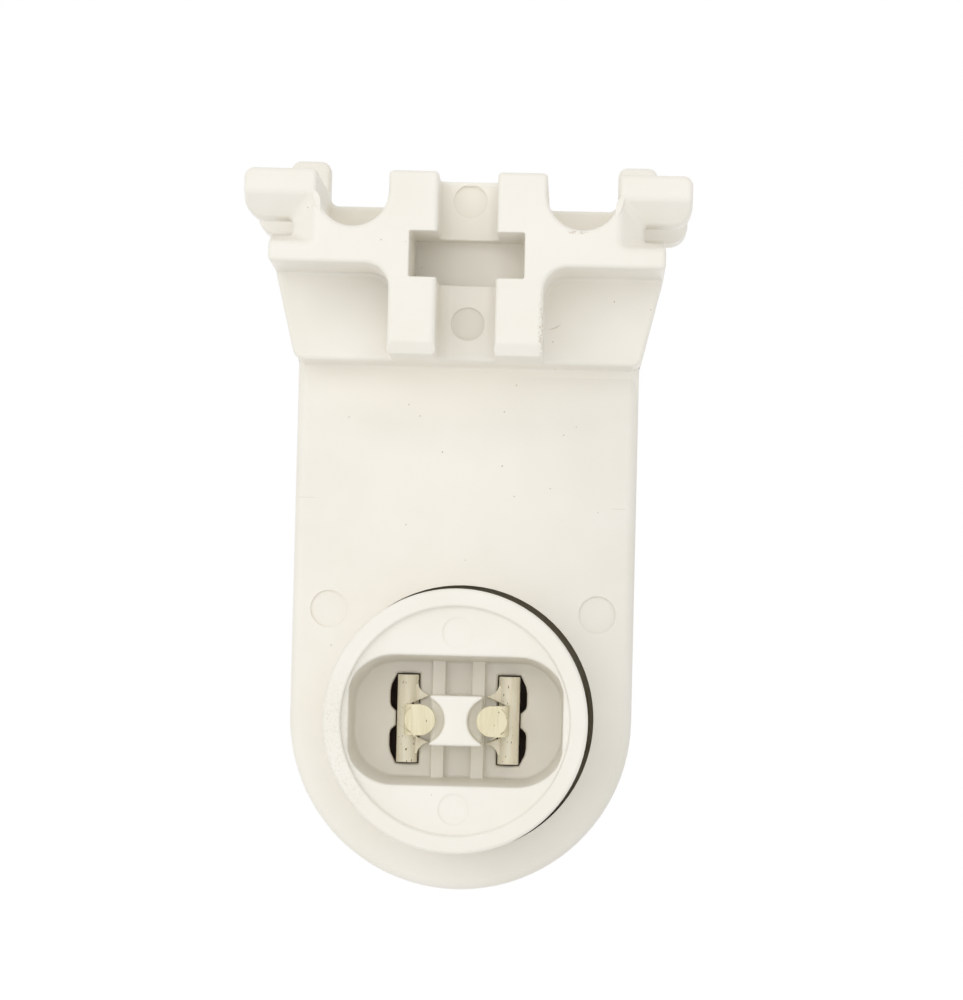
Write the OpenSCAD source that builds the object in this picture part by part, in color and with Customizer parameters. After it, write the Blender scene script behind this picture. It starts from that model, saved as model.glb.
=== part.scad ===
// Recessed double contact lampholder with a sprung plunger and a slotted mounting foot.
// X runs across the foot, Y from the lamp side to the back, and Z up out of the mounting face.
// The origin is the middle of the foot's mounting face.

/* [Body] */
// Width of the body and diameter of its round end
body_width = 28.5; // [27:0.5:34]
// Height from the lamp's axis up to the mounting face
axis_drop = 44.15; // [41:0.05:60]
// Depth of the body from its lamp side to its back
body_depth = 18.2; // [17.5:0.1:24]
// Thickness of the body's side walls
side_wall = 1.8; // [1.4:0.1:2]
// Thickness of the wall on the lamp side
front_wall = 2.2; // [1.6:0.1:2.6]
// Rounding along the lamp side's edge
body_edge = 0.8; // [0.4:0.1:1.2]

/* [Foot] */
// Depth of the foot from its front face to the back of the rear ears
foot_depth = 19.4; // [18.5:0.1:24]
// Distance from the foot's front face back to the body's lamp side
face_setback = 13.6; // [11.5:0.1:15]
// Span across the ears
ear_span = 36.1; // [34:0.1:40]
// Height of the ears
ear_height = 3.9; // [3.8:0.1:4.3]
// Thickness of the front ears
front_ear = 5; // [3:0.1:6]
// Thickness of the rear ears
rear_ear = 4.2; // [3:0.1:5]
// Rounding of the ears' lower corners
ear_round = 1.5; // [0.8:0.1:1.8]
// Height of the side grooves that take the fixture's sheet
groove_height = 1.35; // [0.9:0.05:1.6]
// Distance between the bottoms of the two side grooves
groove_span = 28.4; // [27.8:0.1:29]
// Span across the flange under the grooves
flange_span = 32; // [31:0.1:33]
// Thickness of the flange under the grooves
flange_thick = 2.3; // [1.8:0.05:2.6]
// Depth of the sloped lead-in at the mouth of each groove
lead_in = 2; // [1:0.1:2.4]
// Height of the locating lugs above the mounting face
lug_height = 2.6; // [2:0.1:4]
// Width of the locating lugs
lug_width = 3.3; // [2.6:0.1:3.6]
// Thickness of the foot's rear plate and its lugs
rear_plate = 2.4; // [1.6:0.1:3]
// Drop of the rear plate's top edge below the mounting face
web_drop = 1.15; // [0.6:0.05:1.6]

/* [Foot cut-outs] */
// Distance between the two open screw notches
notch_pitch = 18.56; // [18.2:0.02:18.8]
// Radius of the screw notches
notch_r = 2.9; // [2.5:0.05:2.95]
// Depth of the screw notches below the mounting face
notch_drop = 4.55; // [4:0.05:4.6]
// Width across the two upright bars
bar_span = 12.5; // [12:0.1:12.7]
// Depth of the corner recesses beside the bars
recess_depth = 8.9; // [8:0.1:9.4]
// Fillet between the flange and the bars
recess_fillet = 1.9; // [1:0.1:2.4]
// Height from the mounting face down to the slanted lead-in at the bars' front
bar_end = 13.8; // [12.8:0.1:14.2]
// Height from the mounting face down to the underside of the neck
neck_drop = 14.8; // [14.4:0.1:16]
// Rounding of the neck's lower corners
neck_round = 1; // [0.5:0.1:1.5]
// Width of the channel for the mounting screw
channel_width = 4.75; // [4.5:0.05:5.2]
// Depth of the channel
channel_depth = 7.4; // [6.8:0.1:8]
// Rounding along the channel's floor
channel_round = 1; // [0.4:0.1:1.4]
// Rounding along the channel's front edges
channel_lip = 0.4; // [0.2:0.1:0.8]
// Width of the pocket for the square nut
nut_width = 9.3; // [9:0.1:10]
// Height of the nut pocket
nut_height = 3.7; // [3.4:0.1:4.2]
// Drop of the nut pocket's top below the mounting face
nut_drop = 4.85; // [4.4:0.05:5.2]
// Depth of the nut pocket
nut_depth = 9; // [8.8:0.1:9.4]
// Draft of the nut pocket's sides from its mouth to its floor
nut_draft = 0.2; // [0:0.05:0.25]

/* [Plunger] */
// Diameter of the plunger
plunger_d = 21.6; // [20.8:0.1:22]
// Clearance around the plunger in the body's round hole
plunger_gap = 0.3; // [0.25:0.05:0.5]
// How far the plunger stands out of the body at rest
plunger_out = 8; // [7.2:0.1:9]
// How far the plunger can be pushed in
plunger_travel = 7; // [5:0.1:7]
// Width of the ring around the plunger's front
rim_width = 1.45; // [1:0.05:1.5]
// Height of that ring above the face inside it
rim_height = 0.7; // [0.3:0.1:1.2]
// Length of the socket for the lamp's cap
socket_length = 17.5; // [17:0.1:17.7]
// Height of the socket
socket_height = 10.6; // [10.2:0.1:11]
// Depth of the socket
socket_depth = 8.5; // [8:0.1:9]
// Draft of the socket's long walls from mouth to floor
socket_draft = 0.5; // [0.2:0.05:0.7]
// Corner radius of the socket's mouth
socket_corner = 4.15; // [3.6:0.05:4.4]
// Thickness of the socket's floor
floor_thick = 1.5; // [1.2:0.1:1.8]
// Width of the post between the contacts
post_width = 4.25; // [4:0.05:4.5]
// Height of the post
post_height = 4.1; // [3.9:0.05:4.4]
// Drop of the post's face behind the ring
post_drop = 1.2; // [0.8:0.1:1.6]
// Radius of the two scoops in the post
scoop_r = 1.95; // [1.7:0.05:2]
// Depth of the scoops into the post's sides
scoop_depth = 1.2; // [0.8:0.05:1.3]
// Length of the plunger's skirt behind its stop flange
skirt_length = 4.85; // [4.5:0.05:4.9]
// Thickness of the stop flange
flange_ring = 1.5; // [1.2:0.1:1.7]

/* [Contacts] */
// Thickness of the contacts' sheet metal
sheet = 0.4; // [0.3:0.05:0.45]
// Length of the folded strip at the foot of each contact
strip_length = 7.3; // [6.8:0.1:7.6]
// Width of the folded strip
strip_width = 1.75; // [1.6:0.05:1.9]
// Distance between the middles of the two strips
strip_pitch = 8.45; // [8.3:0.05:8.6]
// How far the strips stand out of the socket's floor
strip_proud = 0.9; // [0.7:0.05:1]
// Width of the contact fingers
finger_width = 2.55; // [2.2:0.05:2.6]
// Drop of the fingertips behind the ring
finger_drop = 1.8; // [1.6:0.1:2.2]
// Distance between the two fingertips
tip_gap = 3.34; // [3.2:0.02:3.6]
// Radius of the wire entries in the plunger's cap
wire_r = 1.15; // [0.9:0.05:1.2]

/* [Back] */
// Thickness of the back cover
cover_thick = 2.4; // [2:0.1:2.6]
// Clearance around the back cover
cover_gap = 0.15; // [0.1:0.05:0.25]
// Width of the window in the back cover
window_width = 17; // [16.5:0.1:18]
// Height of the window
window_height = 11; // [10.5:0.1:12]
// Wire diameter of the spring
spring_wire = 0.8; // [0.6:0.05:0.85]
// Shank diameter of the cover screws
screw_d = 2.2; // [1.8:0.1:2.4]
// Head diameter of the cover screws
screw_head_d = 3.6; // [3.2:0.1:3.7]
// Length of the cover screws under the head
screw_length = 8; // [6:0.5:9]

/* [Hidden] */
$fn = 64;

ivory = [0.93, 0.92, 0.87];
brass = [0.80, 0.77, 0.64];
steel = [0.70, 0.70, 0.68];
over = 1;            // how far a cut runs past a face
running = 0.05;      // play between flat faces that meet
half_turn = 180;

// Places along Y
foot_front = -foot_depth / 2;
foot_back = foot_depth / 2;
face_y = foot_front + face_setback;
back_y = face_y + body_depth;
cover_y = back_y - cover_thick;
recess_y = foot_front + recess_depth;
neck_wall = 1.8;
neck_y = recess_y + neck_wall;
ring_y = face_y - plunger_out;
floor_y = ring_y + socket_depth;
chamber_y = floor_y + floor_thick;
flange_y = face_y + front_wall + running;
spring_y = flange_y + flange_ring;
skirt_y = spring_y + skirt_length;

// Places along Z
axis_z = -axis_drop;
flange_top = -(ear_height + groove_height);
flange_bottom = flange_top - flange_thick;
neck_bottom = -neck_drop;

// Sizes inside the body
body_r = body_width / 2;
inner_r = body_r - side_wall;
plunger_r = plunger_d / 2;
hole_r = plunger_r + plunger_gap;
plunger_lean = 0.6 * plunger_gap;    // the plunger lies to the left in its play
plunger_sag = 0.3 * plunger_gap;     // and sags a little
stop_r = inner_r - plunger_lean - 0.25;
barrel_wall = 1.4;
key_width = 3;
key_r = inner_r + 1.1;
key_gap = plunger_lean + 0.1;

// Sizes inside the plunger
chamber_r = 8.6;
cap_thick = 1.6;
cap_gap = 0.1;
cap_r = plunger_r - rim_width;
cap_y = skirt_y - cap_thick;
cap_block = [15, 9];
cap_block_round = 2;
cap_block_y = skirt_y + 1.5;
release_slot = [2.2, 5];
release_depth = 1;
web_thick = 1.7;
web_height = 9;
rib_width = 1.1;
rib_pitch = 3.3;
rib_height = 0.8;
socket_end_draft = 0.1;
slot_gap = 0.1;
lobe_reach = 0.5;
lobe_inner = 0.55;

// Sizes of the foot's bars, the fasteners, cores and marks
bar_lead = 0.6;
core_width = 8.8;
boss_r = 2.4;
boss_x = inner_r - 2.35;
boss_z = axis_z + inner_r - 0.55;
head_height = 1.4;
head_gap = 0.2;
pin_mark_r = 1.34;
pin_mark_drop = 0.25;
pin_mark_rise = 2.1;
face_mark_r = 1.53;
face_mark_x = 11.2;
face_mark_rise = 8.9;
face_mark_z = axis_z + face_mark_rise;
mark_depth = 0.2;
ring_mark_r = 1.25;
ring_mark_z = 7.2;
ring_mark_depth = 0.1;

// Extrudes a front view outline, drawn in X and Z, from one Y to another.
module slab(from_y, to_y) {
    translate([0, to_y, 0]) rotate([90, 0, 0]) linear_extrude(to_y - from_y) children();
}

// Extrudes a plan outline, drawn in X and Y, from one Z to another.
module column(from_z, to_z) {
    translate([0, 0, from_z]) linear_extrude(to_z - from_z) children();
}

// Extrudes a side view outline, drawn in Y and Z, to both sides of the middle.
module across(half_width) {
    rotate([90, 0, 90]) linear_extrude(2 * half_width, center = true) children();
}

// Revolves a half section, drawn in radius and Y, about the lamp's axis.
module revolve(angle = 360) {
    translate([0, 0, axis_z]) rotate([-90, 0, 0]) rotate_extrude(angle = angle, $fn = 128) children();
}

module both_sides() {
    children();
    mirror([1, 0, 0]) children();
}

// Puts the plunger and what it carries where they lie in the hole's play.
module leaning() {
    translate([-plunger_lean, 0, -plunger_sag]) children();
}

module rounded_rect(w, h, r) {
    square([w - 2 * r, h], center = true);
    square([w, h - 2 * r], center = true);
    for (sx = [-1, 1], sz = [-1, 1]) translate([sx * (w / 2 - r), sz * (h / 2 - r)]) circle(r);
}

// Front view of the body: straight sides over a round end.
module stadium(r, top_z) {
    translate([-r, axis_z]) square([2 * r, top_z - axis_z]);
    translate([0, axis_z]) circle(r, $fn = 128);
}

// Half section of the body, with its rounded front edge.
module body_section() {
    translate([0, face_y]) square([body_r - body_edge, body_depth]);
    translate([0, face_y + body_edge]) square([body_r, body_depth - body_edge]);
    translate([body_r - body_edge, face_y + body_edge]) circle(body_edge);
}

module body_solid() {
    revolve(half_turn) body_section();
    column(axis_z, flange_top) {
        body_section();
        mirror([1, 0]) body_section();
    }
}

// One ear seen from the front, with its small upper and large lower outer corner.
module ear_outline() {
    ear_x = groove_span / 2 - over;
    tip_x = ear_span / 2;
    upper_round = 0.8;
    translate([ear_x, -ear_height]) square([tip_x - ear_round - ear_x, ear_height]);
    translate([ear_x, -ear_height + ear_round])
        square([tip_x - ear_x, ear_height - ear_round - upper_round]);
    translate([ear_x, -upper_round]) square([tip_x - upper_round - ear_x, upper_round]);
    translate([tip_x - ear_round, -ear_height + ear_round]) circle(ear_round);
    translate([tip_x - upper_round, -upper_round]) circle(upper_round);
}

// Locating lug on top of a rear ear.
module lug_outline() {
    lug_x = notch_pitch / 2 + notch_r;
    top_round = 0.8;
    translate([lug_x, -over]) square([lug_width, over + lug_height - top_round]);
    translate([lug_x + top_round, -over]) square([lug_width - 2 * top_round, over + lug_height]);
    for (x = [lug_x + top_round, lug_x + lug_width - top_round])
        translate([x, lug_height - top_round]) circle(top_round);
}

// The part of the foot above the neck, before its cuts.
module foot_head() {
    slab(foot_front, foot_back) {
        translate([-groove_span / 2, flange_bottom]) square([groove_span, -flange_bottom]);
        translate([-flange_span / 2, flange_bottom]) square([flange_span, flange_thick]);
    }
    both_sides() {
        slab(foot_front, foot_front + front_ear) ear_outline();
        slab(foot_back - rear_ear, foot_back) ear_outline();
        slab(foot_back - rear_plate, foot_back) lug_outline();
    }
}

// The tapered neck that joins the foot to the body, with rounded lower corners.
module neck() {
    slope = (flange_span / 2 - body_r) / (flange_bottom - neck_bottom);
    slant = sqrt(1 + slope * slope);
    corner = [body_r + neck_round * (slope - slant), neck_bottom + neck_round];
    slab(recess_y, foot_back) both_sides() {
        polygon([[0, flange_bottom + over], [flange_span / 2, flange_bottom + over], [flange_span / 2, flange_bottom],
            corner + neck_round * [1, -slope] / slant, [corner[0], neck_bottom], [0, neck_bottom]]);
        translate(corner) circle(neck_round);
    }
}

// The two upright bars beside the screw channel, with a steep lead-in at their lower front edge
// and fillets under the flange.
module bars() {
    lead = foot_front + bar_lead;
    difference() {
        both_sides() slab(foot_front, recess_y + over) {
            translate([0, neck_bottom]) square([bar_span / 2, flange_bottom + over - neck_bottom]);
            translate([bar_span / 2 - over, flange_bottom - recess_fillet]) difference() {
                square([recess_fillet + over, recess_fillet + over]);
                translate([recess_fillet + over, 0]) circle(recess_fillet);
            }
        }
        across(bar_span / 2 + over)
            polygon([[foot_front - over, -bar_end], [foot_front, -bar_end], [lead, neck_bottom],
                [lead, neck_bottom - over], [foot_front - over, neck_bottom - over]]);
    }
}

// Open notch for a screw that runs from front to back, closed by the rear plate.
module notch() {
    notch_z = notch_r - notch_drop;
    translate([notch_pitch / 2, 0, 0]) {
        slab(foot_front - over, foot_back - rear_plate) {
            translate([0, notch_z]) circle(notch_r);
            translate([-notch_r, notch_z]) square([2 * notch_r, over - notch_z]);
        }
        slab(foot_front, foot_back + over) web_cut();
    }
}

// Cut over the rear plate's top edge, with a small fillet at the bar and a large one at the lug.
module web_cut() {
    inner = 0.4;
    outer = 0.8;
    translate([-notch_r, outer - web_drop]) square([2 * notch_r, over + web_drop - outer]);
    translate([-notch_r, inner - web_drop]) square([inner, outer - inner + running]);
    translate([inner - notch_r, -web_drop]) square([2 * notch_r - inner - outer, outer + running]);
    translate([inner - notch_r, inner - web_drop]) circle(inner);
    translate([notch_r - outer, outer - web_drop]) circle(outer);
}

// Channel for the mounting screw, which runs down from the mounting face.
module screw_channel() {
    bottom_y = foot_front + channel_depth;
    column(neck_bottom - over, over) {
        translate([-channel_width / 2, foot_front - over])
            square([channel_width, channel_depth + over - channel_round]);
        translate([channel_round - channel_width / 2, foot_front - over])
            square([channel_width - 2 * channel_round, channel_depth + over]);
        for (sx = [-1, 1])
            translate([sx * (channel_width / 2 - channel_round), bottom_y - channel_round])
                circle(channel_round);
        for (sx = [-1, 1]) scale([sx, 1]) translate([channel_width / 2 - running, foot_front - over])
            difference() {
                square([channel_lip + running, over + channel_lip]);
                translate([channel_lip + running, over + channel_lip]) circle(channel_lip);
            }
    }
}

module nut_pocket() {
    column(-nut_drop - nut_height, -nut_drop)
        wedge(nut_width / 2 - nut_draft, nut_draft * (1 + over / nut_depth), foot_front + nut_depth, foot_front - over);
}

// Funnel at the mouth of a side groove, so that the fixture's sheet finds its way in.
module groove_mouth() {
    mouth = 1.95;
    mouth_low = 0.7;
    mouth_corner = 0.7;
    depth = 0.01;
    reach = ear_span / 2 + over;
    groove_x = groove_span / 2;
    hull() {
        translate([groove_x - mouth, foot_front - depth, flange_top - mouth_low])
            cube([reach - groove_x + mouth, depth, groove_height + mouth + mouth_low - mouth_corner]);
        slab(foot_front - depth, foot_front)
            translate([groove_x - mouth + mouth_corner, flange_top + groove_height + mouth - mouth_corner])
                circle(mouth_corner, $fn = 32);
        translate([reach - depth, foot_front - depth, flange_top])
            cube([depth, depth, groove_height + mouth]);
        translate([groove_x, foot_front + lead_in, flange_top])
            cube([reach - groove_x, depth, groove_height]);
    }
}

// Core behind the screw channel, open at the foot's back.
module rear_core() {
    core_wall = 1.5;
    core = [core_width, ear_height + groove_height - 1.2 * core_wall];
    core_y = foot_front + nut_depth + core_wall + 0.4;
    slab(core_y, foot_back + over)
        translate([0, -core_wall - core[1] / 2]) rounded_rect(core[0], core[1], 0.6);
}

// The hollow of the body behind its front wall, and the smaller one in the neck.
module cavity() {
    step_wall = 2;
    slab(face_y + front_wall, back_y + over) stadium(inner_r, flange_bottom);
    slab(neck_y, face_y + front_wall + over)
        translate([-inner_r, neck_bottom + step_wall])
            square([2 * inner_r, flange_bottom - neck_bottom - step_wall]);
}

// Shallow round marks that the mould's ejector pins leave.
module pin_marks() {
    channel_y = foot_front + channel_depth;
    for (z = [-pin_mark_r - pin_mark_drop, -bar_end + pin_mark_rise])
        slab(channel_y - over, channel_y + mark_depth) translate([0, z]) circle(pin_mark_r);
    for (sx = [-1, 1])
        slab(face_y - over, face_y + mark_depth)
            translate([sx * face_mark_x, face_mark_z]) circle(face_mark_r);
}

// Round wall inside the body that guides the plunger's flange, open at the top for its key.
module barrel() {
    difference() {
        slab(face_y + front_wall - running, cover_y) intersection() {
            translate([0, axis_z]) difference() {
                circle(inner_r + barrel_wall, $fn = 128);
                circle(inner_r, $fn = 128);
            }
            translate([-inner_r - running, axis_z]) square([2 * inner_r + 2 * running, body_r]);
        }
        slab(face_y + front_wall, cover_y + over)
            translate([-key_width / 2 - key_gap, axis_z]) square([key_width + 2 * key_gap, body_r + barrel_wall]);
    }
}

// Post that a cover screw bites into.
module screw_boss() {
    slab(face_y + front_wall - running, cover_y) intersection() {
        translate([boss_x, boss_z]) circle(boss_r);
        translate([0, axis_z]) square([inner_r + running, axis_drop]);
    }
}

module screw_pilot() {
    slab(cover_y - screw_length, cover_y + over) translate([boss_x, boss_z]) circle(screw_d / 2 + 0.02);
}

// Two ribs across the hollow of the body, which carry the top of the back cover.
module cover_ribs() {
    rib = 1.4;
    rise = 4;
    rib_z = boss_z + boss_r + rise;
    slab(face_y + front_wall - running, cover_y) both_sides()
        translate([inner_r / 2 - rib / 2, rib_z]) square([rib, flange_bottom - rib_z + running]);
}

module housing() {
    color(ivory) difference() {
        union() {
            difference() {
                union() {
                    body_solid();
                    foot_head();
                    neck();
                    bars();
                }
                cavity();
                both_sides() notch();
                both_sides() groove_mouth();
                screw_channel();
                nut_pocket();
                rear_core();
                pin_marks();
            }
            barrel();
            both_sides() screw_boss();
            cover_ribs();
        }
        revolve() translate([0, face_y - over]) square([hole_r, front_wall + over + running]);
        both_sides() screw_pilot();
    }
}

module back_cover() {
    corner = 2.4;
    collar = 1.2;
    collar_height = 0.8;
    lift_r = 4;
    lift_depth = 0.8;
    color(ivory) difference() {
        union() {
            slab(cover_y, back_y) stadium(inner_r - cover_gap, flange_bottom - cover_gap);
            // raised collar around the window
            slab(cover_y, back_y + collar_height) translate([0, axis_z])
                rounded_rect(window_width + 2 * collar, window_height + 2 * collar, corner + collar);
        }
        slab(cover_y - over, back_y + 2 * over) translate([0, axis_z])
            rounded_rect(window_width, window_height, corner);
        both_sides() translate([boss_x, 0, boss_z]) {
            slab(cover_y - over, back_y + over) circle(screw_d / 2 + head_gap);
            slab(back_y - head_height, back_y + over) circle(screw_head_d / 2 + head_gap);
        }
        // shallow finger recess at the top edge, for lifting the cover off
        slab(back_y - lift_depth, back_y + over)
            translate([0, flange_bottom - cover_gap]) circle(lift_r);
    }
}

module cover_screw() {
    seat_y = back_y - head_height;
    cross = [2.2, 0.55];
    cross_depth = 0.8;
    color(steel) translate([boss_x, 0, boss_z]) difference() {
        union() {
            slab(seat_y, back_y) circle(screw_head_d / 2);
            slab(cover_y - screw_length + 0.5, seat_y + running) circle(screw_d / 2);
        }
        slab(back_y - cross_depth, back_y + over) {
            square(cross, center = true);
            rotate(90) square(cross, center = true);
        }
    }
}

// Slot in the socket's floor for one contact, with two long lobes that clear its barbs.
module contact_slot() {
    outer_x = strip_pitch / 2 + strip_width / 2 + slot_gap;
    top_z = strip_length / 2 + slot_gap;
    slab(floor_y - over, chamber_y + over) translate([0, axis_z]) {
        translate([strip_pitch / 2 - strip_width / 2 - slot_gap, -top_z])
            square([strip_width + 2 * slot_gap, 2 * top_z]);
        for (sz = [-1, 1]) scale([1, sz])
            polygon([[outer_x - running, lobe_inner], [outer_x + 0.4 * lobe_reach, lobe_inner + 0.2],
                [outer_x + 0.85 * lobe_reach, lobe_inner + 0.45], [outer_x + lobe_reach, lobe_inner + 0.75],
                [outer_x + lobe_reach, top_z - 1.45], [outer_x + 0.8 * lobe_reach, top_z - 0.9],
                [outer_x, top_z - 0.1], [outer_x - running, top_z - 0.1]]);
    }
}

// Racetrack socket for the lamp's cap, with flat ends: a cone at each corner and two wedges, cut off flat.
module socket() {
    mouth_y = ring_y + rim_height;
    depth = floor_y - mouth_y;
    flare = socket_draft * (1 + over / depth);
    corner_x = socket_length / 2 - socket_end_draft + socket_draft - socket_corner;
    corner_z = socket_height / 2 - socket_corner;
    floor_r = socket_corner - socket_draft;
    start_y = mouth_y - over;
    intersection() {
        slab(start_y - over, floor_y + over) translate([0, axis_z])
            square([socket_length, 2 * socket_height], center = true);
        translate([0, 0, axis_z]) {
            for (sx = [-1, 1], sz = [-1, 1])
                translate([sx * corner_x, floor_y, sz * corner_z]) rotate([90, 0, 0])
                    cylinder(h = depth + over, r1 = floor_r, r2 = floor_r + flare);
            column(-corner_z, corner_z) wedge(corner_x + floor_r, flare, floor_y, start_y);
            rotate([0, 90, 0]) column(-corner_x, corner_x) wedge(corner_z + floor_r, flare, floor_y, start_y);
        }
    }
}

// Plan outline of a tapered cut, of a given half width at its floor.
module wedge(half, flare, floor_y, start_y) {
    polygon([[-half, floor_y], [half, floor_y], [half + flare, start_y], [-half - flare, start_y]]);
}

// Post between the contacts: scooped at both sides in its upper part.
module post() {
    post_y = ring_y + post_drop;
    ledge_y = ring_y + finger_drop + 1.4;
    scoop_x = post_width / 2 - scoop_depth + scoop_r;
    difference() {
        slab(post_y, floor_y + running) translate([0, axis_z]) rounded_rect(post_width, post_height, 0.2);
        slab(post_y - over, ledge_y) for (sx = [-1, 1])
            translate([sx * scoop_x, axis_z]) circle(scoop_r);
    }
}

module plunger() {
    color(ivory) {
        difference() {
            union() {
                revolve() {
                    edge = 0.3;
                    translate([0, ring_y + edge]) square([plunger_r, skirt_y - ring_y - edge]);
                    translate([0, ring_y]) square([plunger_r - edge, edge + running]);
                    translate([plunger_r - edge, ring_y + edge]) circle(edge);
                    translate([0, flange_y]) square([stop_r, flange_ring]);
                }
                // key that keeps the plunger from turning
                slab(flange_y, spring_y)
                    translate([-key_width / 2, axis_z + plunger_r - over])
                        square([key_width, key_r - plunger_r + over]);
            }
            revolve() {
                translate([0, ring_y - over]) square([plunger_r - rim_width, over + rim_height]);
                translate([0, chamber_y]) square([chamber_r, skirt_y + over - chamber_y]);
                translate([0, cap_y]) square([cap_r, cap_thick + over]);
            }
            socket();
            both_sides() contact_slot();
            for (sz = [-1, 1])
                slab(ring_y, ring_y + rim_height + ring_mark_depth)
                    translate([0, axis_z + sz * ring_mark_z]) circle(ring_mark_r);
        }
        post();
        // ribs across the socket's floor, on both sides of the post
        for (sx = [-1, 1])
            slab(floor_y - rib_height, floor_y + running)
                translate([sx * rib_pitch / 2, axis_z])
                    square([rib_width, socket_height - 2 * socket_draft + 0.3], center = true);
        // web behind the floor that carries the wire clamps
        slab(chamber_y - running, cap_y) translate([0, axis_z])
            square([web_thick, web_height], center = true);
    }
}

module plunger_cap() {
    color(ivory) difference() {
        union() {
            slab(cap_y + running, skirt_y) translate([0, axis_z]) circle(cap_r - cap_gap, $fn = 128);
            slab(skirt_y - over, cap_block_y) translate([0, axis_z])
                rounded_rect(cap_block[0], cap_block[1], cap_block_round);
        }
        both_sides() translate([wire_x, 0, 0])
            slab(cap_y - over, cap_block_y + over) translate([0, axis_z]) circle(wire_r);
        // slot for releasing the clamps
        slab(cap_block_y - release_depth, cap_block_y + over) translate([0, axis_z])
            square(release_slot, center = true);
    }
}

// The wire runs along the inner side of the contact's tail.
tail_x = strip_pitch / 2 + strip_width / 2 - sheet;
wire_x = tail_x - wire_r - running;

// Spring contact: a folded strip on the socket's floor, a finger that stands up beside the post,
// and a tail that runs back through the floor to the wire entry.
module contact() {
    mid_x = strip_pitch / 2;
    bend_r = strip_width / 2;
    bend_y = floor_y - strip_proud + bend_r;
    crest_y = floor_y - strip_proud;
    inner_leg_y = chamber_y - 0.3;
    tail_end_y = cap_y - running;
    tail_width = 4.4;
    tip_y = ring_y + finger_drop;
    tip_bend = 0.7;
    finger_x = mid_x + 0.05;
    tip_mid = tip_gap / 2 + finger_width / 2;
    horn = 0.35;
    shoulder = [1.2, 1.95, 2.2, 2.5, 2.95];    // heights of the shoulders' corners above the middle
    opening = [1.2, 1.97];                     // half heights of the finger's opening
    opening_x = mid_x - 1.9;

    color(brass) {
        difference() {
            column(axis_z - strip_length / 2, axis_z + strip_length / 2) {
                intersection() {
                    translate([mid_x, bend_y]) difference() {
                        circle(bend_r);
                        circle(bend_r - sheet);
                    }
                    translate([mid_x - bend_r, crest_y]) square([strip_width, bend_r]);
                }
                translate([mid_x - bend_r, bend_y - running]) square([sheet, inner_leg_y - bend_y]);
                translate([mid_x + bend_r - sheet, bend_y - running])
                    square([sheet, chamber_y - bend_y + 0.5]);
            }
            // opening that the finger was lanced out of
            slab(crest_y - over, floor_y + 0.3) translate([0, axis_z])
                polygon([[mid_x - 0.15, opening[0]], [opening_x, opening[1]],
                    [opening_x, -opening[1]], [mid_x - 0.15, -opening[0]]]);
        }
        // shoulders left beside the opening
        for (sz = [-1, 1])
            slab(crest_y + horn, crest_y + horn + sheet) translate([0, axis_z]) scale([1, sz])
                polygon([[mid_x - 0.12, shoulder[0]], [mid_x - 1.87, shoulder[1]], [mid_x - 1.3, shoulder[2]],
                    [mid_x - bend_r - 0.12, shoulder[3]], [mid_x - bend_r + 0.05, shoulder[4]],
                    [mid_x - 0.3, shoulder[4]]]);
        // finger
        column(axis_z - finger_width / 2, axis_z + finger_width / 2) {
            translate([finger_x - sheet, tip_y + tip_bend]) square([sheet, crest_y + sheet - tip_y - tip_bend]);
            intersection() {
                translate([finger_x - tip_bend, tip_y + tip_bend]) difference() {
                    circle(tip_bend);
                    circle(tip_bend - sheet);
                }
                translate([finger_x - tip_bend, tip_y]) square([tip_bend, tip_bend]);
            }
        }
        slab(tip_y, tip_y + sheet) translate([0, axis_z]) {
            translate([tip_mid, -finger_width / 2]) square([finger_x - tip_bend - tip_mid, finger_width]);
            translate([tip_mid, 0]) circle(finger_width / 2);
        }
        // tail
        slab(chamber_y, tail_end_y) translate([tail_x, axis_z - tail_width / 2]) square([sheet, tail_width]);
    }
}

// Leaf that grips the wire: a flat back against the web, folded over into a slanted tongue.
module wire_clamp() {
    leaf = 0.3;
    clamp_height = 2.8;
    back_x = web_thick / 2 + running;
    foot_y = chamber_y + running;
    fold_y = cap_y - leaf;
    tip_x = wire_x - wire_r - running;
    tongue = 3;
    tip_y = fold_y - tongue;
    color(steel) column(axis_z - clamp_height / 2, axis_z + clamp_height / 2)
        polygon([[back_x, foot_y], [back_x, fold_y], [back_x + 1.5 * leaf, fold_y],
            [tip_x, tip_y], [tip_x - leaf, tip_y], [back_x + leaf, fold_y - 1.5 * leaf], [back_x + leaf, foot_y]]);
}

// Compression spring between the plunger's flange and the back cover, with a dead turn at each end.
spring_turns = 5;
spring_gap = 0.4;
spring_r = plunger_r + spring_gap + spring_wire / 2;
spring_length = cover_y - spring_y - 2 * running;
dead_pitch = spring_wire + 0.05;
active_pitch = (spring_length - spring_wire - 2 * dead_pitch) / (spring_turns - 2);
ring_steps = 22;
wire_sides = 8;

function spring_height(turn) = turn < 1 ? dead_pitch * turn
    : turn < spring_turns - 1 ? dead_pitch + active_pitch * (turn - 1)
    : dead_pitch + active_pitch * (spring_turns - 2) + dead_pitch * (turn - spring_turns + 1);

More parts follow.
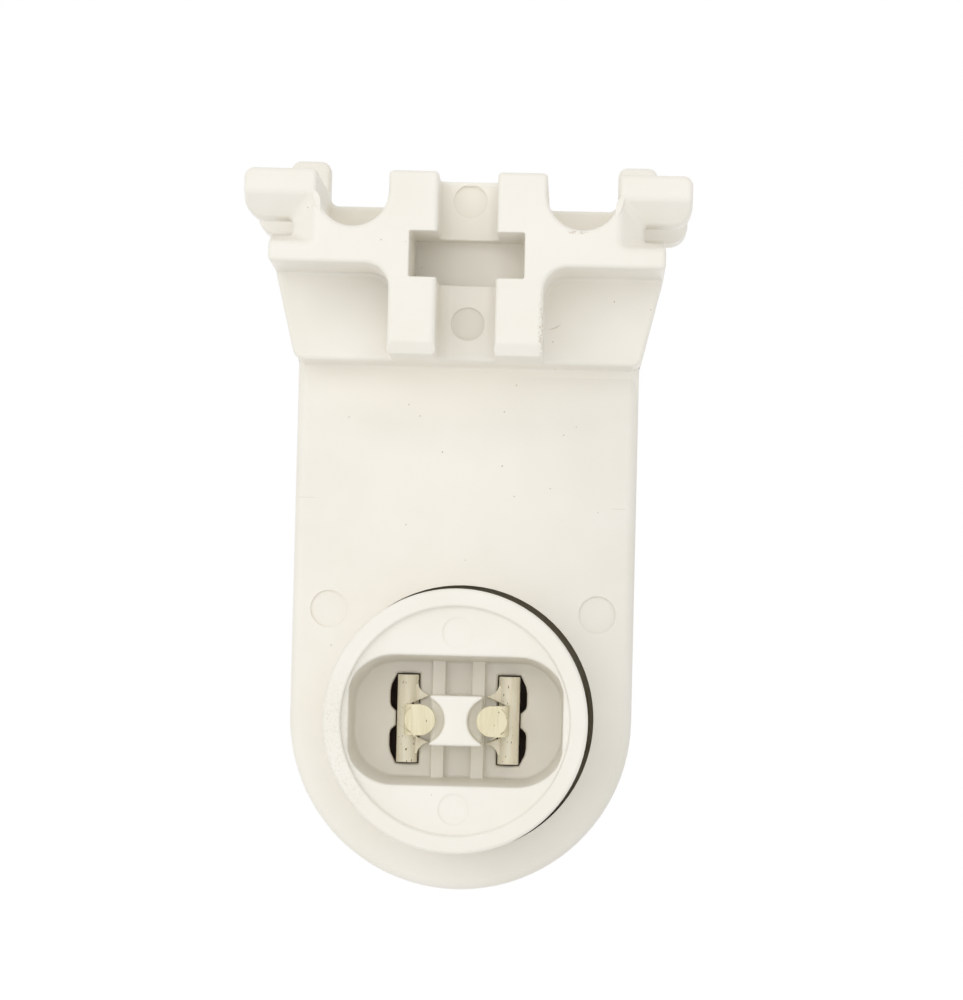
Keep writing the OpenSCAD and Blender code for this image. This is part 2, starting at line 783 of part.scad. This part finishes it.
module plunger_spring() {
    rings = spring_turns * ring_steps;
    start_y = spring_y + running + spring_wire / 2;
    points = [for (i = [0 : rings], k = [0 : wire_sides - 1])
        let (a = 360 * i / ring_steps, b = 360 * k / wire_sides,
            r = spring_r + spring_wire / 2 * cos(b))
        [r * cos(a), start_y + spring_height(i / ring_steps) + spring_wire / 2 * sin(b), axis_z + r * sin(a)]];
    sides = [for (i = [0 : rings - 1], k = [0 : wire_sides - 1])
        let (n = (k + 1) % wire_sides)
        [i * wire_sides + k, i * wire_sides + n, (i + 1) * wire_sides + n, (i + 1) * wire_sides + k]];
    first = [for (k = [wire_sides - 1 : -1 : 0]) k];
    last = [for (k = [0 : wire_sides - 1]) rings * wire_sides + k];
    color(steel) polyhedron(points, concat(sides, [first, last]));
}

housing();
back_cover();
mirror([1, 0, 0]) cover_screw();  // cover_screw_left
cover_screw();  // cover_screw_right
leaning() plunger();
leaning() plunger_cap();
leaning() mirror([1, 0, 0]) contact();  // contact_left
leaning() contact();  // contact_right
leaning() mirror([1, 0, 0]) wire_clamp();  // wire_clamp_left
leaning() wire_clamp();  // wire_clamp_right
plunger_spring();
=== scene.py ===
"""Looks for the sprung plunger lamp holder: softened edges, moulded plastic, plated contacts, studio light."""

import math

import bmesh
import bpy
from mathutils import Matrix, Vector
from mathutils.geometry import delaunay_2d_cdt


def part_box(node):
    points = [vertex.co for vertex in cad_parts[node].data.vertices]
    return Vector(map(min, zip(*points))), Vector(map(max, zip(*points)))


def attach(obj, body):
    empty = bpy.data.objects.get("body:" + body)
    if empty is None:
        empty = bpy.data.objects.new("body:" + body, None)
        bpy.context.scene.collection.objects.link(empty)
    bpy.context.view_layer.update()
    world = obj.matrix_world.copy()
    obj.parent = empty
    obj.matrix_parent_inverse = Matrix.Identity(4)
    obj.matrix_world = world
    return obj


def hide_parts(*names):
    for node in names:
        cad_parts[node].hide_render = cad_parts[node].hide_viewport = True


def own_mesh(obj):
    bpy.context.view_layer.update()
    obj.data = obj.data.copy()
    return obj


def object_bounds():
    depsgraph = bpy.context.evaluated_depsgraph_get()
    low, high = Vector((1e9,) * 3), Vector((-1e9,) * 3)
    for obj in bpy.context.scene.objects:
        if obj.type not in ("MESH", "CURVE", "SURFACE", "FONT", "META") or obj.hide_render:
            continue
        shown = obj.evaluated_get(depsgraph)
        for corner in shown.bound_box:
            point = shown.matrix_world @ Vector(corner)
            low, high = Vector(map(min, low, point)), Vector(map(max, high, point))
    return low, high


MM = 0.001

# The photograph's frame and camera, in pixels and millimetres
FRAME_WIDTH_PX = 963
FRAME_HEIGHT_PX = 1000
FOCAL_PX = 4000
CAMERA_DISTANCE = 320 * MM
ROLL = math.radians(1.39)
FOOT_TOP_PX = (468.7, 169.6)
VANISHING_PX = (575, 650)
PX_PER_MM = 12.5

# Roundings of the softened edges, the large one first, and the angles that count as an edge
MOULDED_EDGES = (0.36 * MM, 0.14 * MM)
HOUSING_HOLLOWS = (((-13.9, 4.4, -60), (13.9, 22.05, -7.6)), ((-12.8, 0.9, -12.8), (12.8, 6.3, -7.5)),
                   ((13.8, 3.8, -15.4), (14.9, 5.6, -14.1)), ((-14.9, 3.8, -15.4), (-13.8, 5.6, -14.1)))
HOLE_RIM = (0, 3.9, -44.15, 11.1)
RIM_NEAR = 0.05
CRISP_MOUTHS = (((-4.9, -9.9, -8.65), (4.9, -0.6, -4.75)),)
COVER_HOLLOWS = (((7.4, 18.0, -36.4), (15.5, 24.0, -28.6)), ((-15.5, 18.0, -36.4), (-7.4, 24.0, -28.6)))
PLUNGER_EDGES = (0.22 * MM, 0.10 * MM)
PLUNGER_HOLLOWS = (((-10.6, 4.9, -54.6), (10.1, 12.4, -33.4)),)
SHEET_EDGES = (0.06 * MM,)
SCREW_EDGES = (0.10 * MM, 0.04 * MM)
EDGE_ANGLE = math.radians(30)
PLUNGER_ANGLE = math.radians(50)
TORN_AREA = 0.001 * MM ** 2
INSIDE = 1
FILL_GAP = 1e-5
SEGMENTS = 4
ROOM = 3

WHITE = (1, 1, 1, 1)
FAR = 1000

# Round marks of the mould's ejector pins, in millimetres: middle, radius, and strength of the painted shade on
# the outline and on the inside
PLUNGER_AXIS = (-0.18, 0, -44.24)
PIN_MARKS = (
    ((0, -2.1, -1.59), 1.34, 0.12, 0.05),
    ((0, -2.1, -11.70), 1.34, 0.20, 0.12),
    ((-11.2, 4.1, -35.25), 1.53, 0.06, 0.01),
    ((11.2, 4.1, -35.25), 1.53, 0.06, 0.01),
    ((-0.18, -3.3, -37.04), 1.25, 0.02, 0),
    ((-0.18, -3.3, -51.44), 1.25, 0.05, 0),
)

# Dirt that lies in speckles, in millimetres: middle and reach of the patch, fineness, share and strength
DIRT = (
    ((6.2, -9.5, -12.6), (0.42, 0.9, 3.6), 7000, 0.52, 0.5),
    ((8.8, -9.6, -4.75), (1.0, 0.6, 0.17), 7000, 0.48, 0.6),
    ((-9.6, -4.0, -47.0), (4.2, 1.2, 7.6), 5200, 0.55, 0.12),
    ((-14.6, -9.7, -3.0), (3.4, 0.6, 0.16), 4200, 0.55, 0.5),
)

# Dust and painted shade in the hollows: inner and outer radius, middle and reach in depth, in millimetres, and
# colour
DUST_AND_SHADE = (
    (10.5, 11.4, 8.0, 4.0, (160, 148, 118)),
    (0, 8.62, 7.9, 3.3, (120, 82, 42)),
)

# Painted light and shade on the moulding, in millimetres: middle and reach of the patch, colour and strength;
# painted shade under the flange beside the bar, painted light in the channel's top, under the neck and in the
# socket
PAINTED_LIGHT_AND_SHADE = (
    ((-6.0, -0.8, -8.4), (8.0, 1.2, 7.0), (150, 146, 136), 0.24),
    ((0, -2.1, -1.2), (3.4, 1.2, 4.2), (255, 251, 240), 1.0),
    ((0, 3.9, -15.8), (18, 1.2, 4.0), (255, 251, 240), 0.6),
    ((-0.18, 1.2, -44.24), (9.6, 4.4, 6.4), (255, 250, 236), 1.0),
)
# Painted shade: the body's front face grows darker towards its right side and its bottom
PAINTED_SHADE_DIRECTION = (0.8 / MM, 0, -0.12 / MM)
PAINTED_SHADE_RANGE = (3, 17)
PAINTED_SHADE_STRENGTH = 0.12

# Hairlines, in millimetres: middle and reach
HAIRLINES = (
    ((-13.4, 3.9, -26.0), (1.0, 0.5, 0.035)),
    ((12.8, 3.9, -26.4), (0.75, 0.5, 0.04)),
)
SCRATCH_MIDDLE = (7.0, -0.8, -11.6)
SCRATCH_REACH = (0.75, 0.6, 0.42)
SCRATCH_BEND = (6.43, 0, -10.1)
SCRATCH_RADIUS = 1.8

SPRING_WIRE = 0.8 * MM
SPRING_TURNS = 5
SPRING_STEPS = 64
SPRING_SIDES = 16


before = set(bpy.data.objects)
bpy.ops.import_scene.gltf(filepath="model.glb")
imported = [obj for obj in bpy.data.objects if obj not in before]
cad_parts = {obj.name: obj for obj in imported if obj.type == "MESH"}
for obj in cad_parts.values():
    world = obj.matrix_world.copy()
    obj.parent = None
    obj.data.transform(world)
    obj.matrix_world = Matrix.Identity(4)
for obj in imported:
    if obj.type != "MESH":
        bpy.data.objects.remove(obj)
cad_bounds = [list(corner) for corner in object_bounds()]


def linear(red, green, blue):
    """A colour given as it shows on screen, from 0 to 255, as Blender's linear values."""
    def channel(value):
        value /= 255
        return value / 12.92 if value <= 0.04045 else ((value + 0.055) / 1.055) ** 2.4
    return (channel(red), channel(green), channel(blue), 1)


class Nodes:
    """Adds the nodes of one material and links them."""

    def __init__(self, name):
        self.material = bpy.data.materials.new(name)
        self.material.use_nodes = True
        self.tree = self.material.node_tree
        self.shader = self.tree.nodes["Principled BSDF"]
        self.place = self.add("ShaderNodeTexCoord").outputs["Object"]

    def add(self, kind, **settings):
        node = self.tree.nodes.new(kind)
        for key, value in settings.items():
            setattr(node, key, value)
        return node

    def link(self, source, target):
        self.tree.links.new(source, target)

    def feed(self, socket, value):
        if isinstance(value, bpy.types.NodeSocket):
            self.link(value, socket)
        else:
            socket.default_value = value

    def noise(self, scale, detail=2, rough=0.5, stretch=None):
        node = self.add("ShaderNodeTexNoise")
        node.inputs["Scale"].default_value = scale
        node.inputs["Detail"].default_value = detail
        node.inputs["Roughness"].default_value = rough
        place = self.place
        if stretch:
            mapping = self.add("ShaderNodeMapping")
            mapping.inputs["Scale"].default_value = stretch
            self.link(place, mapping.inputs["Vector"])
            place = mapping.outputs["Vector"]
        self.link(place, node.inputs["Vector"])
        return node.outputs["Fac"]

    def dots(self, spacing, radius, share):
        """Round specks at a share of random points; the radius is a share of the points' spacing."""
        node = self.add("ShaderNodeTexVoronoi")
        node.inputs["Scale"].default_value = spacing
        self.link(self.place, node.inputs["Vector"])
        pick = self.add("ShaderNodeSeparateColor")
        self.link(node.outputs["Color"], pick.inputs["Color"])
        near = self.math("LESS_THAN", node.outputs["Distance"], radius)
        return self.math("MULTIPLY", near, self.math("LESS_THAN", pick.outputs[0], share))

    def distance(self, middle, reach):
        """Distance from a point given in millimetres, in shares of a reach along each axis."""
        mapping = self.add("ShaderNodeMapping")
        mapping.inputs["Scale"].default_value = [1 / (size * MM) for size in reach]
        mapping.inputs["Location"].default_value = [-place / size for place, size in zip(middle, reach)]
        self.link(self.place, mapping.inputs["Vector"])
        length = self.add("ShaderNodeVectorMath", operation="LENGTH")
        self.link(mapping.outputs["Vector"], length.inputs[0])
        return length.outputs["Value"]

    def near(self, middle, reach, soft=0.0):
        """1 inside an ellipsoid given in millimetres and 0 outside, with an edge that can be soft."""
        return self.ramp(self.distance(middle, reach), 1 - soft - 0.001, 1, 1, 0)

    def ramp(self, value, low, high, start=0, end=1):
        node = self.add("ShaderNodeMapRange", clamp=True)
        self.feed(node.inputs["Value"], value)
        node.inputs["From Min"].default_value = low
        node.inputs["From Max"].default_value = high
        node.inputs["To Min"].default_value = start
        node.inputs["To Max"].default_value = end
        return node.outputs["Result"]

    def math(self, operation, first, second=0.0):
        node = self.add("ShaderNodeMath", operation=operation)
        self.feed(node.inputs[0], first)
        self.feed(node.inputs[1], second)
        return node.outputs[0]

    def mix(self, mark_shade, first, second):
        node = self.add("ShaderNodeMix", data_type="RGBA")
        self.feed(node.inputs["Factor"], mark_shade)
        self.feed(node.inputs["A"], first)
        self.feed(node.inputs["B"], second)
        return node.outputs["Result"]

    def bump(self, height, strength, distance):
        node = self.add("ShaderNodeBump")
        node.inputs["Strength"].default_value = strength
        node.inputs["Distance"].default_value = distance
        self.link(height, node.inputs["Height"])
        self.link(node.outputs["Normal"], self.shader.inputs["Normal"])


def pin_mark(n, colour, middle, radius, outline, inside):
    """Paints shade on a round mark that faces the lamp side: a thin dark outline on its rim and a faintly
    darker inside.
    """
    radial = n.distance(middle, (radius, FAR, radius))
    here = n.near(middle, (2 * radius, 0.6, 2 * radius))
    off_line = n.math("ABSOLUTE", n.math("SUBTRACT", radial, 1.0))
    mark_shade = n.math("MAXIMUM", n.ramp(off_line, 0.015, 0.055, outline, 0), n.ramp(radial, 0.94, 1.0, inside, 0))
    return n.mix(n.math("MULTIPLY", mark_shade, here), colour, linear(150, 140, 116))


def moulded_plastic():
    """Warm white urea moulding: faint cloudiness, scattered specks, ejector marks drawn with painted shade, a
    little dirt, dust with painted shade in the hollows, and patches and a fall of painted light and shade.
    """
    n = Nodes("moulded_plastic")
    cloud = n.ramp(n.noise(120, detail=3), 0.35, 0.65)
    colour = n.mix(cloud, linear(244, 240, 231), linear(240, 236, 225))
    # painted light and shade: lighter patches where light falls, a darker one where shade falls
    for middle, reach, painted_tone, strength in PAINTED_LIGHT_AND_SHADE:
        colour = n.mix(n.math("MULTIPLY", n.near(middle, reach, 0.9), strength), colour, linear(*painted_tone))
    # painted shade: darker towards the right side and the bottom of the body's front face
    painted_fall = n.add("ShaderNodeVectorMath", operation="DOT_PRODUCT")
    n.link(n.place, painted_fall.inputs[0])
    painted_fall.inputs[1].default_value = PAINTED_SHADE_DIRECTION
    painted_fall = n.ramp(painted_fall.outputs["Value"], *PAINTED_SHADE_RANGE, 0, PAINTED_SHADE_STRENGTH)
    painted_fall = n.math("MULTIPLY", painted_fall, n.near((0, 3.9, -38), (FAR, 1.0, 22.5)))
    colour = n.mix(painted_fall, colour, linear(120, 118, 108))
    for spacing, radius, share, strength in ((1000, 0.06, 0.10, 0.5), (420, 0.03, 0.35, 0.6)):
        specks = n.math("MULTIPLY", n.dots(spacing, radius, share), strength)
        colour = n.mix(specks, colour, linear(146, 124, 92))
    for mark in PIN_MARKS:
        colour = pin_mark(n, colour, *mark)
    for middle, reach, fineness, share, strength in DIRT:
        speckle = n.ramp(n.noise(fineness, detail=3), share, share + 0.06, 0, strength)
        colour = n.mix(n.math("MULTIPLY", speckle, n.near(middle, reach, 0.6)), colour, linear(176, 150, 112))
    for middle, reach in HAIRLINES:
        colour = n.mix(n.math("MULTIPLY", n.near(middle, reach, 0.3), 0.22), colour, linear(170, 160, 138))
    bend = n.distance(SCRATCH_BEND, (SCRATCH_RADIUS, FAR, SCRATCH_RADIUS))
    hair = n.ramp(n.math("ABSOLUTE", n.math("SUBTRACT", bend, 1.0)), 0.008, 0.03, 0.5, 0)
    hair = n.math("MULTIPLY", hair, n.near(SCRATCH_MIDDLE, SCRATCH_REACH, 0.5))
    colour = n.mix(hair, colour, linear(170, 142, 120))

    # dust and painted shade inside: in the gap around the plunger, and behind the slots beside the contacts
    radial = n.distance(PLUNGER_AXIS, (1, FAR, 1))
    for inner, outer, middle_y, reach_y, dust_and_shade_colour in DUST_AND_SHADE:
        depth = n.ramp(n.distance((0, middle_y, 0), (FAR, reach_y, FAR)), 0.97, 1.0, 1, 0)
        around = n.math("MULTIPLY", n.math("GREATER_THAN", radial, inner), n.math("LESS_THAN", radial, outer))
        colour = n.mix(n.math("MULTIPLY", depth, around), colour, linear(*dust_and_shade_colour))
    n.link(colour, n.shader.inputs["Base Color"])
    n.link(n.ramp(n.noise(300, detail=2), 0.3, 0.7, 0.36, 0.46), n.shader.inputs["Roughness"])
    n.shader.inputs["IOR"].default_value = 1.5
    n.bump(n.noise(2200, detail=2), 0.12, 0.02 * MM)
    return n.material


def plated_brass():
    """Tin-plated brass strip: pale warm metal, fine streaks along the rolling direction, brown pits, painted
    shade on the fingers at the front and painted light on the strips deeper in the socket.
    """
    n = Nodes("plated_brass")
    streak = n.ramp(n.noise(3200, detail=4, rough=0.7, stretch=(1, 0.5, 0.08)), 0.36, 0.66)
    # painted shade and light: darker colours on the fingers at the front, lighter ones on the strips deeper in
    # the socket
    finger_shade_strip_light = n.near((0, -3.0, -44.24), (FAR, 3.5, FAR))
    bright = n.mix(finger_shade_strip_light, linear(255, 250, 232), linear(231, 223, 192))
    dull = n.mix(finger_shade_strip_light, linear(248, 239, 214), linear(220, 210, 176))
    colour = n.mix(streak, bright, dull)
    pits = n.ramp(n.noise(5200, detail=2, stretch=(1, 1, 0.45)), 0.69, 0.72)
    colour = n.mix(pits, colour, linear(116, 94, 66))
    worn = n.add("ShaderNodeBevel", samples=6)
    worn.inputs["Radius"].default_value = 0.09 * MM
    plain = n.add("ShaderNodeNewGeometry")
    level = n.add("ShaderNodeVectorMath", operation="DOT_PRODUCT")
    n.link(worn.outputs["Normal"], level.inputs[0])
    n.link(plain.outputs["Normal"], level.inputs[1])
    colour = n.mix(n.ramp(level.outputs["Value"], 0.80, 0.99, 0.75, 0), colour, linear(150, 120, 80))
    n.link(colour, n.shader.inputs["Base Color"])
    n.shader.inputs["Metallic"].default_value = 0.08
    n.link(n.ramp(streak, 0, 1, 0.48, 0.60), n.shader.inputs["Roughness"])
    n.bump(streak, 0.15, 0.02 * MM)
    return n.material


def zinc_steel():
    """Zinc-plated steel with a fine grain."""
    n = Nodes("zinc_steel")
    grain = n.noise(1500, detail=3)
    n.link(n.mix(n.ramp(grain, 0.35, 0.65), linear(196, 197, 194), linear(168, 169, 166)), n.shader.inputs["Base Color"])
    n.shader.inputs["Metallic"].default_value = 1
    n.link(n.ramp(grain, 0.3, 0.7, 0.25, 0.42), n.shader.inputs["Roughness"])
    return n.material


def white_stage():
    """White for the camera and in reflections, apart from the object's shadow, and plain white to light."""
    material = bpy.data.materials.new("stage_white")
    material.use_nodes = True
    tree = material.node_tree
    tree.nodes.clear()
    output = tree.nodes.new("ShaderNodeOutputMaterial")
    lit = tree.nodes.new("ShaderNodeBsdfDiffuse")
    lit.inputs["Color"].default_value = (0.9, 0.9, 0.9, 1)
    glow = tree.nodes.new("ShaderNodeEmission")
    glow.inputs["Color"].default_value = WHITE
    path = tree.nodes.new("ShaderNodeLightPath")
    seen = tree.nodes.new("ShaderNodeMath")
    seen.operation = "MAXIMUM"
    strength = tree.nodes.new("ShaderNodeMath")
    strength.operation = "MULTIPLY"
    strength.inputs[1].default_value = 0.6
    total = tree.nodes.new("ShaderNodeAddShader")
    tree.links.new(path.outputs["Is Camera Ray"], seen.inputs[0])
    tree.links.new(path.outputs["Is Glossy Ray"], seen.inputs[1])
    tree.links.new(seen.outputs[0], strength.inputs[0])
    tree.links.new(strength.outputs[0], glow.inputs["Strength"])
    tree.links.new(lit.outputs[0], total.inputs[0])
    tree.links.new(glow.outputs[0], total.inputs[1])
    tree.links.new(total.outputs[0], output.inputs["Surface"])
    return material


def thicknesses(work, angle):
    """For each smooth region between sharp edges, its mean thickness, given face by face."""
    thick = {}
    for seed in work.faces:
        if seed in thick:
            continue
        region, todo, area, border = [], [seed], 0, 0
        thick[seed] = 0
        while todo:
            face = todo.pop()
            region.append(face)
            area += face.calc_area()
            for edge in face.edges:
                if is_sharp(edge, angle):
                    border += edge.calc_length()
                    continue
                for other in edge.link_faces:
                    if other not in thick:
                        thick[other] = 0
                        todo.append(other)
        for face in region:
            thick[face] = 2 * area / border if border else math.inf
    return thick


def is_within(edge, box):
    """Whether an edge's middle lies in a box, given in millimetres as two corners."""
    middle = (edge.verts[0].co + edge.verts[1].co) / (2 * MM)
    return all(low < value < high for low, value, high in zip(box[0], middle, box[1]))


def is_on_rim(edge, rim):
    """Whether an edge lies on a round rim, given in millimetres as its middle and radius."""
    middle = (edge.verts[0].co + edge.verts[1].co) / (2 * MM)
    x, y, z, radius = rim
    return abs(middle.y - y) < RIM_NEAR and abs(math.hypot(middle.x - x, middle.z - z) - radius) < RIM_NEAR


def is_sharp(edge, angle):
    return len(edge.link_faces) == 2 and edge.calc_face_angle(0) > angle


def refill(work, face, normal):
    """Fills a face whose outline crosses itself with triangles that lie inside the outline."""
    across = normal.orthogonal().normalized()
    up = normal.cross(across)
    corners = list(face.verts)
    depth = face.calc_center_median().dot(normal)
    flat = [Vector((vert.co.dot(across), vert.co.dot(up))) / MM for vert in corners]
    ring = [(i, (i + 1) % len(flat)) for i in range(len(flat))]
    points, _, triangles, sources, _, _ = delaunay_2d_cdt(flat, ring, [], INSIDE, FILL_GAP)
    verts = []
    for point, source in zip(points, sources):
        place = (across * point[0] + up * point[1]) * MM + normal * depth
        verts.append(corners[source[0]] if source else work.verts.new(place))
    work.faces.remove(face)
    for triangle in triangles:
        chosen = [verts[i] for i in triangle]
        if len(set(chosen)) == 3 and not work.faces.get(chosen):
            work.faces.new(chosen)


def mend(work):
    """Refills the faces that a rounding has torn: their triangles cover more than the outline encloses."""
    covered, enclosed = {}, {}
    for loops in work.calc_loop_triangles():
        first, second, third = (loop.vert.co for loop in loops)
        cross = (second - first).cross(third - first) / 2
        face = loops[0].face
        covered[face] = covered.get(face, 0) + cross.length
        enclosed[face] = enclosed.get(face, Vector()) + cross
    torn = [face for face, area in covered.items()
            if len(face.verts) > 3 and area - enclosed[face].length > TORN_AREA]
    for face in torn:
        refill(work, face, enclosed[face].normalized())
    work.normal_update()


def round_edges(work, width, angle, hollows):
    """Rounds the sharp edges outside the hollows that have room for it on both sides."""
    thick = thicknesses(work, angle)
    edges = [edge for edge in work.edges
             if is_sharp(edge, angle) and min(thick[face] for face in edge.link_faces) > ROOM * width
             and not any(is_within(edge, hollow) for hollow in hollows) and not is_on_rim(edge, HOLE_RIM)]
    bmesh.ops.bevel(work, geom=edges, offset=width, offset_type="OFFSET", segments=SEGMENTS, profile=0.5,
                    affect="EDGES", clamp_overlap=False, loop_slide=True, miter_outer="ARC")
    mend(work)


def softened(node, body, material, widths, angle=EDGE_ANGLE, hollows=(), crisp=()):
    """A copy of a CAD node with rounded edges, which takes the node's place; crisp boxes get the small ones."""
    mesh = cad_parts[node].data.copy()
    work = bmesh.new()
    work.from_mesh(mesh)
    bmesh.ops.remove_doubles(work, verts=work.verts, dist=0.002 * MM)
    bmesh.ops.dissolve_limit(work, angle_limit=math.radians(0.1), verts=work.verts, edges=work.edges)
    for width in widths:
        skipped = hollows + crisp if width == max(widths) else hollows
        round_edges(work, width, angle, skipped)
    for face in work.faces:
        face.smooth = True
    for edge in work.edges:
        edge.smooth = not is_sharp(edge, EDGE_ANGLE)
    work.to_mesh(mesh)
    work.free()
    mesh.materials.clear()
    mesh.materials.append(material)
    piece = bpy.data.objects.new(node + "_finished", mesh)
    bpy.context.scene.collection.objects.link(piece)
    normals = piece.modifiers.new("normals", "WEIGHTED_NORMAL")
    normals.keep_sharp = True
    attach(piece, body)
    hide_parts(node)
    return piece


def spring(material):
    """The coil spring with fine round wire, from the first dead turn to the last."""
    low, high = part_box("plunger_spring")
    coil_r = (high.x - low.x - SPRING_WIRE) / 2
    axis_x, axis_z = (low.x + high.x) / 2, (low.z + high.z) / 2
    span = high.y - low.y - SPRING_WIRE
    dead = SPRING_WIRE + 0.05 * MM
    active = (span - 2 * dead) / (SPRING_TURNS - 2)

    def height(turn):
        return dead * min(turn, 1) + active * min(max(turn - 1, 0), SPRING_TURNS - 2) + dead * max(
            turn - SPRING_TURNS + 1, 0)

    rings = SPRING_TURNS * SPRING_STEPS
    points, faces = [], []
    for i in range(rings + 1):
        turn = i / SPRING_STEPS
        for k in range(SPRING_SIDES):
            around, across = 2 * math.pi * turn, 2 * math.pi * k / SPRING_SIDES
            r = coil_r + SPRING_WIRE / 2 * math.cos(across)
            y = low.y + SPRING_WIRE / 2 + height(turn) + SPRING_WIRE / 2 * math.sin(across)
            points.append((axis_x + r * math.cos(around), y, axis_z + r * math.sin(around)))
    for i in range(rings):
        for k in range(SPRING_SIDES):
            here, after = i * SPRING_SIDES, (k + 1) % SPRING_SIDES
            faces.append((here + k, here + after, here + SPRING_SIDES + after, here + SPRING_SIDES + k))
    faces.append(tuple(range(SPRING_SIDES - 1, -1, -1)))
    faces.append(tuple(rings * SPRING_SIDES + k for k in range(SPRING_SIDES)))
    mesh = bpy.data.meshes.new("plunger_spring_finished")
    mesh.from_pydata(points, [], faces)
    for face in mesh.polygons:
        face.use_smooth = len(face.vertices) == 4
    mesh.materials.append(material)
    piece = bpy.data.objects.new("plunger_spring_finished", mesh)
    bpy.context.scene.collection.objects.link(piece)
    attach(piece, "housing")
    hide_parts("plunger_spring")
    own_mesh(piece)


def camera():
    """A camera at the photograph's place: the foot's top and the vanishing point give where it stands."""
    right = Vector((math.cos(ROLL), math.sin(ROLL)))
    down = Vector((-math.sin(ROLL), math.cos(ROLL)))

    def on_object(pixel_offset):
        return pixel_offset.dot(right), -pixel_offset.dot(down)

    to_eye = on_object(Vector(VANISHING_PX) - Vector(FOOT_TOP_PX))
    centre = Vector((FRAME_WIDTH_PX / 2, FRAME_HEIGHT_PX / 2))
    to_centre = on_object(centre - Vector(VANISHING_PX))
    foot_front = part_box("housing")[0].y
    eye = Vector((to_eye[0] * MM / PX_PER_MM, foot_front - CAMERA_DISTANCE, to_eye[1] * MM / PX_PER_MM))
    forward = Vector((to_centre[0], FOCAL_PX, to_centre[1])).normalized()
    up = Vector((-math.sin(ROLL), 0, math.cos(ROLL)))
    side = forward.cross(up).normalized()
    up = side.cross(forward)
    data = bpy.data.cameras.new("camera")
    data.sensor_fit = "HORIZONTAL"
    data.sensor_width = 36
    data.lens = data.sensor_width * FOCAL_PX / FRAME_WIDTH_PX
    data.clip_start = 0.01
    obj = bpy.data.objects.new("camera", data)
    turn = Matrix((side, up, -forward)).transposed()
    obj.matrix_world = Matrix.Translation(eye) @ turn.to_4x4()
    bpy.context.scene.collection.objects.link(obj)
    bpy.context.scene.camera = obj


def area_light(name, place, target, size, power):
    data = bpy.data.lights.new(name, "AREA")
    data.shape = "RECTANGLE"
    data.size, data.size_y = size
    data.energy = power
    obj = bpy.data.objects.new(name, data)
    obj.location = place
    obj.rotation_euler = (Vector(target) - Vector(place)).to_track_quat("-Z", "Y").to_euler()
    bpy.context.scene.collection.objects.link(obj)


def studio(low, high):
    """Plain floor, soft light from all round and a little more from the front and above."""
    floor_z = low.z - 60 * MM
    wall_y = high.y + 0.6
    material = white_stage()
    corners = {
        "floor": [(-4, -4, floor_z), (4, -4, floor_z), (4, wall_y, floor_z), (-4, wall_y, floor_z)],
    }
    for name, points in corners.items():
        mesh = bpy.data.meshes.new(name)
        mesh.from_pydata(points, [], [(0, 1, 2, 3)])
        mesh.materials.append(material)
        obj = bpy.data.objects.new(name, mesh)
        bpy.context.scene.collection.objects.link(obj)

    world = bpy.data.worlds.new("studio")
    bpy.context.scene.world = world
    world.use_nodes = True
    tree = world.node_tree
    background = tree.nodes["Background"]
    background.inputs["Color"].default_value = WHITE
    path = tree.nodes.new("ShaderNodeLightPath")
    seen = tree.nodes.new("ShaderNodeMath")
    seen.operation = "MAXIMUM"
    strength = tree.nodes.new("ShaderNodeMapRange")
    strength.inputs["To Min"].default_value = 0.78
    strength.inputs["To Max"].default_value = 1
    tree.links.new(path.outputs["Is Camera Ray"], seen.inputs[0])
    tree.links.new(path.outputs["Is Glossy Ray"], seen.inputs[1])
    tree.links.new(seen.outputs[0], strength.inputs["Value"])
    tree.links.new(strength.outputs["Result"], background.inputs["Strength"])

    middle = (low + high) / 2
    area_light("front", middle + Vector((-0.16, -0.90, 0.06)), middle, (0.9, 0.9), 2.85)
    area_light("key", middle + Vector((-0.45, -0.45, 0.10)), middle, (0.35, 0.35), 0.2)


plastic = moulded_plastic()
brass = plated_brass()
steel = zinc_steel()

softened("housing", "housing", plastic, MOULDED_EDGES, hollows=HOUSING_HOLLOWS,
         crisp=CRISP_MOUTHS)
softened("back_cover", "housing", plastic, MOULDED_EDGES, hollows=COVER_HOLLOWS)
softened("plunger", "plunger", plastic, PLUNGER_EDGES, PLUNGER_ANGLE, PLUNGER_HOLLOWS)
softened("plunger_cap", "plunger", plastic, PLUNGER_EDGES, PLUNGER_ANGLE)
for side in ("left", "right"):
    softened("contact_" + side, "plunger", brass, SHEET_EDGES)
    softened("cover_screw_" + side, "housing", steel, SCREW_EDGES)
    softened("wire_clamp_" + side, "plunger", steel, SHEET_EDGES)
spring(steel)

bpy.context.scene.view_settings.view_transform = "Standard"
camera()
studio(*[Vector(corner) for corner in cad_bounds])
